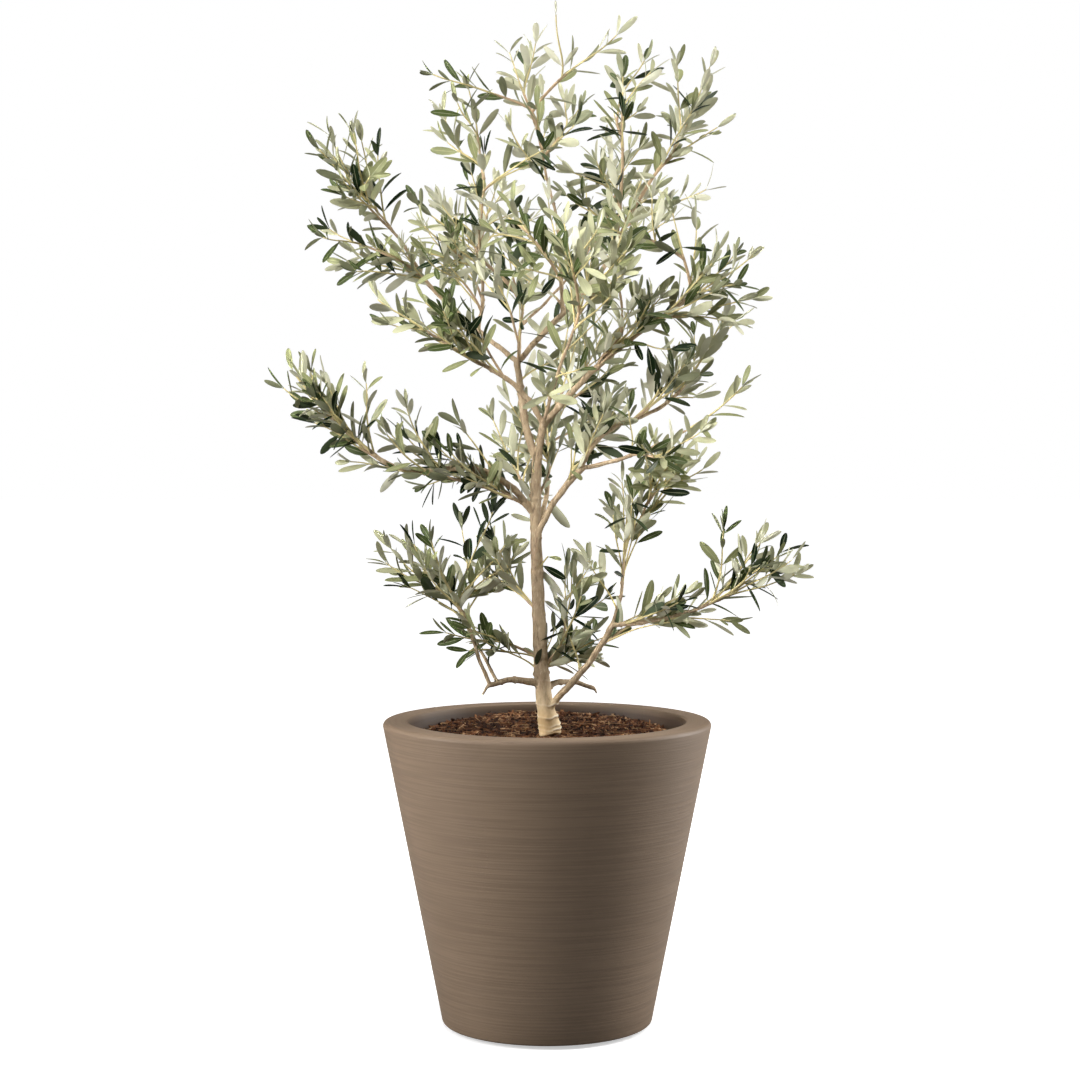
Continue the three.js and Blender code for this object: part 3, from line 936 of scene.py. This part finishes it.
def nearest_rows(points, targets, block=4000):
    """For each point the row of the nearest target, found a block at a time."""
    out = np.zeros(len(points), dtype=np.int64)
    squares = (targets ** 2).sum(1)
    for i in range(0, len(points), block):
        p = points[i:i + block]
        out[i:i + block] = (squares - 2 * p @ targets.T).argmin(1)
    return out


# ---- twigs ----
def build_twigs(plant, materials):
    """Twig tubes, woody where they are thick and golden where they are young."""
    for shoot in reversed(plant.shoots):
        if shoot.last > 0 and plant.shoots[shoot.parent].kind != "limb":
            parent = plant.shoots[shoot.parent]
            parent.last = max(parent.last, shoot.place)
    woody, young = Pile(), Pile()
    for shoot in plant.shoots:
        if shoot.kind == "limb" or shoot.last == 0:
            continue
        end = max(shoot.last + 1, 4)
        points, radii, run = resample(shoot.points[:end], shoot.radii[:end], 5 * MM)
        radii = radii * (1 + 0.16 * np.cos(run / NODE_SPACING * 2 * math.pi) ** 8)
        thick = radii > WOODY_RADIUS
        split = int(thick.sum())
        if split >= len(points) - 1:
            woody.add(*tube_arrays(points, radii, 7))
        elif split <= 2:
            young.add(*tube_arrays(points, radii, 6))
        else:
            woody.add(*tube_arrays(points[:split + 1], radii[:split + 1], 7))
            young.add(*tube_arrays(points[split - 1:], radii[split - 1:] * 0.99, 6))
    return (new_object("twigs_woody", woody.mesh("twigs_woody"), [materials[0]]),
            new_object("twigs_young", young.mesh("twigs_young"), [materials[1]]))


# ---- leaves ----
def leaf_faces():
    """Faces of one leaf, each with its material: 0 blade, 1 underside, 2 rib.

    Both sides are split along the same diagonals, so a twisted leaf never cuts itself.
    """
    faces, slots = [], []
    rows, ring = len(LEAF_STATIONS), len(LEAF_RING)
    ring_slots = (0, 2, 0, 1, 1)
    outer_first = (True, True, False, True, False)
    for i in range(rows - 1):
        a, b = ring * i, ring * (i + 1)
        for k in range(ring):
            m = (k + 1) % ring
            if outer_first[k]:
                faces += [(a + k, b + k, b + m), (a + k, b + m, a + m)]
            else:
                faces += [(a + k, b + k, a + m), (b + k, b + m, a + m)]
            slots += [ring_slots[k]] * 2
    last, tip = ring * (rows - 1), ring * rows
    for k in range(ring):
        faces.append((last + k, tip, last + (k + 1) % ring))
        slots.append(ring_slots[k])
    faces.append(tuple(range(ring)))
    slots.append(1)
    return faces, slots


class Leaves:
    """Rows of leaf places, made into one mesh at the end."""

    def __init__(self):
        self.rows = []

    def add(self, *row):
        """Foot, way, face, length, width, droop, sickle, twist and fold of one leaf."""
        self.rows.append(row)

    def mesh(self, name):
        columns = [np.array(column) for column in zip(*self.rows)]
        foot, way, face = columns[:3]
        face = face - way * np.einsum("ij,ij->i", face, way)[:, None]
        face /= norm(face, axis=1)[:, None]
        side = np.cross(face, way)
        length, width, droop, sickle, twist, fold = (c[:, None] for c in columns[3:])
        n, ring = len(LEAF_STATIONS), len(LEAF_RING)
        t = np.append(np.repeat(LEAF_STATIONS, ring), 1.0)[None]
        half = np.append(np.repeat(LEAF_HALF_WIDTHS, ring), 0.0)[None]
        across = np.append(np.tile(LEAF_RING, n), 0.0)[None]
        below = np.append(np.tile([0.0] * (ring - 1) + [1.0], n), 0.0)[None]
        y = across * half * width
        z = np.abs(across) * half * width * fold - below * LEAF_THICKNESS * (1.6 - t)
        c, s = np.cos(twist * t), np.sin(twist * t)
        y, z = y * c - z * s, y * s + z * c
        z = z - droop * length * t ** 2
        y = y + sickle * length * t ** 2
        x = length * t * (1 - 0.4 * np.abs(droop) * t)
        verts = (foot[:, None] + x[..., None] * way[:, None] + y[..., None] * side[:, None]
                 + z[..., None] * face[:, None])
        faces, slots = leaf_faces()
        count, size = verts.shape[:2]
        all_faces = [tuple(i + size * k for i in f) for k in range(count) for f in faces]
        mesh = mesh_from(name, verts.reshape(-1, 3), all_faces, np.tile(slots, count))
        mesh.set_sharp_from_angle(angle=math.radians(38))
        return mesh


def leaf_pair(leaves, masses, shoot, index, out, spread, size, light, hang=0.0):
    """Two leaves face to face across a node; their upper sides look along the shoot."""
    point, along = shoot.points[index], shoot.ways[index]
    for sign in (1, -1):
        if rng.random() > light:
            continue
        swing = math.radians(spread + rng.normal(0, 9))
        side = turned_about(out * sign, along, rng.normal(0, 0.22))
        way = unit(along * math.cos(swing) + side * math.sin(swing) + UP * (0.1 - hang))
        outward = unit(point * (1, 1, 0))
        face = along - side * 0.25 + UP * 0.28 + outward * 0.5 + rng.normal(0, 0.2, 3)
        face = turned_about(face, way, rng.normal(0, 0.65))
        length = LEAF_LENGTH * size * rng.normal(1.0, 0.1)
        width = length / (LEAF_SLENDERNESS * rng.uniform(0.84, 1.2))
        if not inside_box(point + way * length, LEAF_SPARE):
            continue
        middle = point + way * length * 0.5
        if max(m.depth(middle) for m in masses) < -LEAF_STRAY:
            continue
        shoot.last = max(shoot.last, index)
        leaves.add(point + side * shoot.radii[index] * 0.5, way, unit(face), length, width,
                   rng.normal(0.07, 0.07), rng.normal(0, 0.035), rng.normal(0, 0.25),
                   rng.uniform(0.06, 0.34))


def inside_box(point, spare):
    low, high = cad_box
    return all(low[k] - spare < point[k] < high[k] + spare for k in range(3))


def dress(plant, masses):
    """Pairs of leaves along every shoot, each pair square to the last, dealt by spray."""
    by_tone = {tone: Leaves() for tone in TONES}
    for shoot in plant.shoots:
        if shoot.kind == "limb":
            continue
        tone = rng.choice(TONES, p=TONE_SHARES)
        hang = rng.uniform(0.6, 1.3) if tone == "dark" and rng.random() < 0.6 else 0.0
        out = any_side(shoot.ways[0])
        at = rng.uniform(0.35, 0.8) * NODE_SPACING
        while at < shoot.length - 6 * MM:
            index = min(int(np.searchsorted(shoot.run, at)), len(shoot.points) - 1)
            along = shoot.ways[index]
            out = unit(np.cross(along, out) + rng.normal(0, 0.12, 3))
            out = unit(out - along * (out @ along))
            share = at / shoot.length
            if shoot.radii[index] < LEAFY_RADIUS:
                own_share = 0.45 if tone == "dark" else 0.75
                mine = tone if rng.random() < own_share else rng.choice(TONES, p=TONE_SHARES)
                size = 0.72 + 0.42 * math.sin(math.pi * min(share + 0.15, 1.0))
                light = 0.62 + 0.36 * share
                leaf_pair(by_tone[mine], masses, shoot, index, out, 54 - 15 * share, size, light,
                          hang if mine == "dark" else 0.0)
            at += NODE_SPACING * rng.uniform(0.8, 1.3)
        out = unit(np.cross(shoot.ways[-1], out))
        if tone == "dark" and rng.random() < 0.6:
            tone = "green"
        leaf_pair(by_tone[tone], masses, shoot, len(shoot.points) - 1, out, 24, 0.8, 1.0)
        if rng.random() < 0.6:
            out = unit(np.cross(shoot.ways[-1], out))
            leaf_pair(by_tone[tone], masses, shoot, len(shoot.points) - 1, out, 13, 0.5, 0.8)
    return by_tone


# ---- planter ----
def arc(cx, cz, radius, start, end, steps):
    """Points along an arc of a profile, between two angles in degrees."""
    turns = [math.radians(start + (end - start) * i / steps) for i in range(steps + 1)]
    return [(cx + radius * math.cos(a), cz + radius * math.sin(a)) for a in turns]


def build_planter(material):
    """The planter turned from one profile, hollow down to a little under the soil's top."""
    low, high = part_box("pot")
    top = high.z
    rim = (high.x - low.x) / 2 + 0.1 * MM
    inner_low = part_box("soil")[1].z - BED_DEPTH
    inner_radius = MOUTH_RADIUS - (top - inner_low) * INNER_TAPER
    profile = [(0, 0.0), (FOOT_RADIUS - 2 * MM, 0.0), (FOOT_RADIUS, 1.5 * MM),
               (FOOT_RADIUS, FOOT_HEIGHT)]
    profile += arc(BASE_RADIUS - BASE_ROUND, FOOT_HEIGHT + BASE_ROUND, BASE_ROUND,
                   -90, WALL_LEAN, 6)
    wall = arc(rim - RIM_ROUND, top - RIM_ROUND, RIM_ROUND, WALL_LEAN, 90, 12)
    start, end = profile[-1], wall[0]
    for i in range(1, WALL_STEPS):
        t = i / WALL_STEPS
        profile.append((start[0] + (end[0] - start[0]) * t, start[1] + (end[1] - start[1]) * t))
    profile += wall
    profile += arc(MOUTH_RADIUS + LIP_ROUND, top - LIP_ROUND, LIP_ROUND, 90, 180, 6)
    profile += [(inner_radius, inner_low), (0, inner_low)]
    bm = bmesh.new()
    verts = [bm.verts.new((x, 0, z)) for x, z in profile]
    edges = [bm.edges.new(pair) for pair in zip(verts, verts[1:])]
    bmesh.ops.spin(bm, geom=verts + edges, cent=(0, 0, 0), axis=(0, 0, 1), dvec=(0, 0, 0),
                   angle=2 * math.pi, steps=160, use_merge=True)
    bmesh.ops.remove_doubles(bm, verts=bm.verts, dist=1e-6)
    bmesh.ops.recalc_face_normals(bm, faces=bm.faces)
    mesh = mesh_of(bm, "planter")
    mesh.set_sharp_from_angle(angle=math.radians(40))
    return new_object("planter", mesh, [material])


# ---- compost ----
def soil_height(x, y, soil_top, rim_radius):
    """The bed lies low in front and round the trunk, and is heaped up at the back."""
    t = min(max((y / rim_radius + 0.06) / 0.6, 0.0), 1.0)
    mound = 14 * MM * t * t * (3 - 2 * t) * (1 - (x / rim_radius) ** 2)
    lumps = 3.4 * MM * noise.noise(Vector((x * 28, y * 28, 3.0)))
    crumbs = 1.6 * MM * noise.noise(Vector((x * 90, y * 90, 8.0)))
    return soil_top + mound + lumps + crumbs


def build_soil_bed(material, soil_top, radius):
    bm = bmesh.new()
    bmesh.ops.create_grid(bm, x_segments=120, y_segments=120, size=radius)
    for v in bm.verts:
        x, y = v.co.x, v.co.y
        reach = max(abs(x), abs(y))
        r = math.hypot(x, y)
        if r > 1e-9:
            x, y = x * reach / r, y * reach / r
        v.co = (x, y, soil_height(x, y, soil_top, radius))
    rim = [e for e in bm.edges if e.is_boundary]
    made = bmesh.ops.extrude_edge_only(bm, edges=rim)["geom"]
    skirt = [g for g in made if isinstance(g, bmesh.types.BMVert)]
    for v in skirt:
        v.co.z = soil_top - SKIRT_DEPTH
    bmesh.ops.contextual_create(bm, geom=[e for e in bm.edges if e.is_boundary])
    bmesh.ops.recalc_face_normals(bm, faces=bm.faces)
    return new_object("compost_bed", mesh_of(bm, "compost_bed"), [material])


def disc_place(radius, share):
    """A place dealt evenly over a share of the bed."""
    r = radius * math.sqrt(rng.random()) * share
    a = rng.uniform(0, 2 * math.pi)
    return r * math.cos(a), r * math.sin(a)


def random_turn():
    """A turn dealt from all there are, as a matrix."""
    q = rng.normal(size=4)
    w, x, y, z = q / norm(q)
    return np.array([[1 - 2 * (y * y + z * z), 2 * (x * y - z * w), 2 * (x * z + y * w)],
                     [2 * (x * y + z * w), 1 - 2 * (x * x + z * z), 2 * (y * z - x * w)],
                     [2 * (x * z - y * w), 2 * (y * z + x * w), 1 - 2 * (x * x + y * y)]])


def build_compost(soil_top, radius, trunk_foot, materials):
    """Bark chips, crumbs and fibres that lie loose on the bed."""
    piles = [Pile() for _ in materials]
    for _ in range(CHIP_COUNT):
        x, y = disc_place(radius, 0.985)
        r = math.hypot(x, y)
        if math.hypot(x - trunk_foot[0], y - trunk_foot[1]) < TRUNK_CLEAR:
            continue
        size = min(np.exp(rng.normal(math.log(2.6), 0.4)), 4.6) * MM
        shape = np.array([rng.uniform(1.2, 3.4), rng.uniform(0.4, 0.9), rng.uniform(0.2, 0.45)])
        corners = CHIP_CORNERS * (1 + rng.uniform(-0.4, 0.2, (8, 3))) * shape * size * 0.62
        turn = random_turn()
        if rng.random() < 0.86:
            flat = rng.normal(0, 0.3, 2)
            spin = rng.uniform(0, ROUND)
            c, s = math.cos(spin), math.sin(spin)
            turn = np.array([[c, -s, flat[0]], [s, c, flat[1]], [-flat[0], -flat[1], 1]])
        corners = corners @ turn.T
        limit = radius - np.hypot(corners[:, 0] + x, corners[:, 1] + y).max()
        if limit < 0:
            x, y = x * (1 + limit / r), y * (1 + limit / r)
        lift = rng.uniform(-0.1, 0.75) * size * 0.6
        centre = np.array([x, y, soil_height(x, y, soil_top, radius) + lift])
        piles[rng.choice(len(piles), p=CHIP_SHARES)].add(centre + corners, CHIP_FACES)
    for _ in range(FIBRE_COUNT):
        start = np.array([*disc_place(radius, 0.93), 0.0])
        way = unit(np.append(unit(rng.normal(size=2)), rng.normal(0, 0.05)))
        bend = unit(np.cross(way, UP)) * rng.normal(0, 0.35)
        length = rng.uniform(9, 34) * MM
        t = np.linspace(0, 1, FIBRE_POINTS)[:, None]
        points = start + way * length * t + bend * length * t ** 2
        if np.hypot(points[:, 0], points[:, 1]).max() > radius * 0.98:
            continue
        ground = soil_height(points[2][0], points[2][1], soil_top, radius)
        points[:, 2] += ground + rng.uniform(1.5, 5.0) * MM
        radii = np.linspace(1, 0.45, FIBRE_POINTS) * rng.uniform(0.28, 0.7) * MM
        piles[rng.choice([1, 2, 3])].add(*tube_arrays(points, radii, 4))
    return [new_object(f"chips_{tone}", pile.mesh(f"chips_{tone}", smooth=False), [material])
            for (tone, _), pile, material in zip(CHIP_TONES, piles, materials)]


# ---- assembly ----
def build_all():
    limb_nodes = [n for n in frame["nodes"] if n.startswith(("trunk", "stem", "bough"))]
    mass_nodes = sorted(n for n in frame["nodes"] if n.startswith("leaves_"))
    limbs = read_limbs()
    plant = Plant(limbs)
    masses = [Mass(n) for n in mass_nodes]
    continue_limbs(plant, limbs, masses)
    grow_masses(plant, masses)
    grow_sprouts(plant, limbs)
    set_girths(plant)

    finish_piece(build_bark(limbs, bark_material()), limb_nodes)
    by_tone = dress(plant, masses)
    for k, tone in enumerate(TONES):
        top, under = LEAF_UPPER[tone], LEAF_UNDER[tone]
        rib = tuple(0.6 * a + 0.4 * b for a, b in zip(top, PALE_RIB))
        obj = new_object(f"leaves_{tone}_spray", by_tone[tone].mesh(f"leaves_{tone}"), [
            plain_material(f"leaf_upper_{tone}", top, 0.46, LEAF_SHINE[tone], 0.14),
            plain_material(f"leaf_under_{tone}", under, 0.62, 0.25, 0.1),
            plain_material(f"leaf_rib_{tone}", rib, 0.5, 0.4, 0.1)])
        finish_piece(obj, mass_nodes if k == 0 else ())

    woody = plain_material("twig_wood", (0.42, 0.3, 0.18), 0.7, 0.3, 0.22)
    young = plain_material("twig_golden", (0.56, 0.47, 0.22), 0.55, 0.4, 0.16)
    for obj in build_twigs(plant, (woody, young)):
        finish_piece(obj)

    finish_piece(build_planter(planter_material()), ["pot"])
    soil_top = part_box("soil")[1].z
    bed = plain_material("compost_bed", (0.03, 0.018, 0.012), 0.95, 0.2, 0.5)
    finish_piece(build_soil_bed(bed, soil_top, COMPOST_RADIUS), ["soil"])
    chips = [plain_material(f"chip_{n}", c, 0.88, 0.25, 0.3) for n, c in CHIP_TONES]
    for obj in build_compost(soil_top, COMPOST_RADIUS, limbs["trunk"].points[0], chips):
        finish_piece(obj)


# ---- stage ----
def area_light(name, place, aim, size, power):
    data = bpy.data.lights.new(name, "AREA")
    data.shape = "RECTANGLE"
    data.size, data.size_y = size
    data.energy = power
    obj = bpy.data.objects.new(name, data)
    bpy.context.scene.collection.objects.link(obj)
    obj.location = place
    obj.rotation_euler = (Vector(aim) - Vector(place)).to_track_quat("-Z", "Y").to_euler()
    return obj


def floor_material():
    """White paper sweep that fades into the background away from the plant."""
    material, tree, shader = new_material("studio_floor", (0.9, 0.9, 0.9), 0.9, 0.1)
    seen = tree.nodes.new("ShaderNodeLightPath").outputs["Is Camera Ray"]
    tree.links.new(add_mix(tree, seen, (0.34, 0.34, 0.34), (0.9, 0.9, 0.9)),
                   shader.inputs["Base Color"])
    away = tree.nodes.new("ShaderNodeVectorMath")
    away.operation = "LENGTH"
    tree.links.new(object_vector(tree), away.inputs[0])
    glow = add_range(tree, away.outputs["Value"], 0.4, 1.7, 0.5, 1.0)
    shader.inputs["Emission Color"].default_value = (1.0, 1.0, 1.0, 1.0)
    tree.links.new(add_math(tree, "MULTIPLY", glow, seen), shader.inputs["Emission Strength"])
    return material


def build_stage():
    scene = bpy.context.scene
    bm = bmesh.new()
    bmesh.ops.create_grid(bm, x_segments=1, y_segments=1, size=30)
    floor = new_object("floor", mesh_of(bm, "floor"), [floor_material()])

    world = bpy.data.worlds.new("studio")
    scene.world = world
    world.use_nodes = True
    tree = world.node_tree
    background = tree.nodes["Background"]
    background.inputs["Color"].default_value = (1.0, 1.0, 1.0, 1.0)
    seen = tree.nodes.new("ShaderNodeLightPath").outputs["Is Camera Ray"]
    tree.links.new(add_range(tree, seen, 0.0, 1.0, WORLD_FILL, 1.0),
                   background.inputs["Strength"])
    area_light("left_softbox", (-2.5, -0.75, 1.3), (0, 0, 0.75), (0.9, 2.4), LEFT_POWER)
    area_light("right_softbox", (2.35, 0.75, 1.2), (0, 0, 0.7), (0.9, 2.2), RIGHT_POWER)
    area_light("top_softbox", (0, -0.5, 4.4), (0, 0, 0.9), (2.6, 2.6), TOP_POWER)
    crown = area_light("crown_softbox", (-1.5, -2.7, 2.3), (0.02, 0, 1.08), (0.6, 0.6),
                       CROWN_POWER)
    crown.data.spread = CROWN_SPREAD
    scene.view_settings.view_transform = "Standard"

    data = bpy.data.cameras.new("camera")
    data.lens = CAMERA_LENS
    data.sensor_width = 36
    camera = bpy.data.objects.new("camera", data)
    scene.collection.objects.link(camera)
    camera.location = (CAMERA_SIDE, -CAMERA_BACK, CAMERA_HEIGHT)
    camera.rotation_euler = (math.pi / 2 - CAMERA_PITCH, 0, 0)
    scene.camera = camera


build_all()
build_stage()
